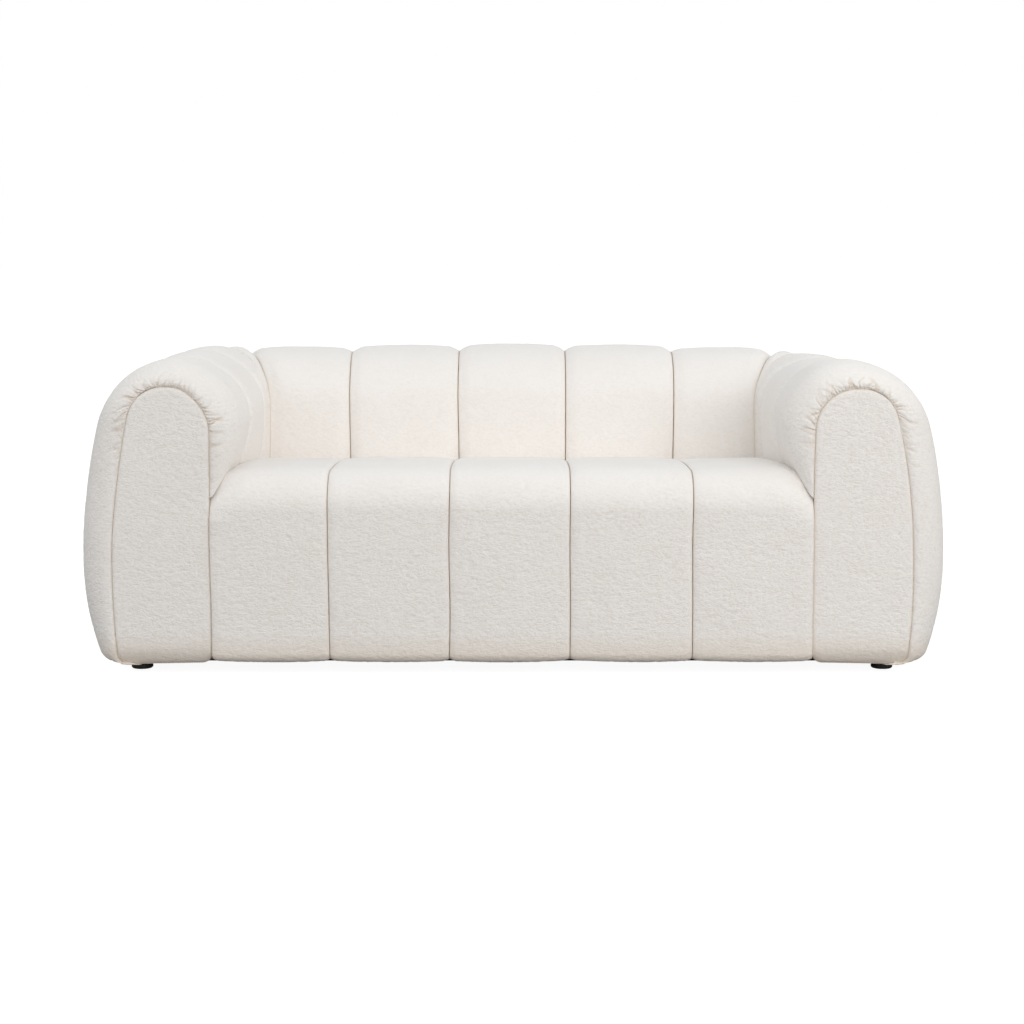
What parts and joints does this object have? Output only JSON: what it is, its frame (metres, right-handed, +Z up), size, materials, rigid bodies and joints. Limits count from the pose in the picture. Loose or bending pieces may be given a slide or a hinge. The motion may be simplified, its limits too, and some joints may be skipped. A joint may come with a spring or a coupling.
{
  "type": "tuxedo sofa",
  "caption": "Low tuxedo sofa, channel-tufted over its seat, back and arms of one height, with flat arched arm facings, a seat front down to the base and short round feet.",
  "frame": {"origin": "on the floor, under the middle of the sofa's box", "axes": "+X along the sofa, to the right of a viewer who faces it; +Y from the seat's front to the back; +Z up"},
  "size_m": [2.001, 0.9302, 0.72],
  "materials": {
    "boucle": "looped boucle, matte",
    "dust_cloth": "non-woven, matte",
    "foam": "open-cell foam",
    "felt": "needled felt",
    "timber": "planed pine",
    "plywood": "sanded plywood",
    "fibreboard": "pressed board",
    "spring_steel": "drawn wire",
    "zinc_steel": "zinc plated",
    "foot_plastic": "moulded, matte black"
  },
  "bodies": {
    "root": {"arm_channel_left_1": "boucle", "arm_channel_left_2": "boucle", "arm_channel_left_3": "boucle", "arm_channel_right_1": "boucle", "arm_channel_right_2": "boucle", "arm_channel_right_3": "boucle", "arm_facing_left": "boucle", "arm_facing_right": "boucle", "arm_front_panel_left": "plywood", "arm_front_panel_right": "plywood", "arm_rear_panel_left": "plywood", "arm_rear_panel_right": "plywood", "arm_shell_left": "fibreboard", "arm_shell_right": "fibreboard", "arm_top_rail_left": "timber", "arm_top_rail_right": "timber", "back_base_board": "plywood", "back_channel_1": "boucle", "back_channel_2": "boucle", "back_channel_3": "boucle", "back_channel_4": "boucle", "back_channel_5": "boucle", "back_ribs": "plywood", "back_shell": "fibreboard", "back_top_rail": "timber", "base_board_left": "plywood", "base_board_right": "plywood", "base_front_rail": "timber", "base_rear_rail": "timber", "corner_blocks": "timber", "corner_channel_left": "boucle", "corner_channel_right": "boucle", "corner_shell_left": "fibreboard", "corner_shell_right": "fibreboard", "dust_cover": "dust_cloth", "foot_front_left": "foot_plastic", "foot_front_right": "foot_plastic", "foot_rear_left": "foot_plastic", "foot_rear_right": "foot_plastic", "foot_studs": "zinc_steel", "seat_channel_1": "boucle", "seat_channel_2": "boucle", "seat_channel_3": "boucle", "seat_channel_4": "boucle", "seat_channel_5": "boucle", "seat_deck_pad": "felt", "seat_foam_core": "foam", "seat_front_board": "plywood", "seat_side_board_left": "plywood", "seat_side_board_right": "plywood", "seat_spring_1": "spring_steel", "seat_spring_2": "spring_steel", "seat_spring_3": "spring_steel", "seat_spring_4": "spring_steel", "seat_spring_5": "spring_steel", "seat_spring_6": "spring_steel", "seat_spring_7": "spring_steel", "spring_clips": "zinc_steel", "spring_front_rail": "timber", "spring_rear_rail": "timber"}
  },
  "joints": []
}
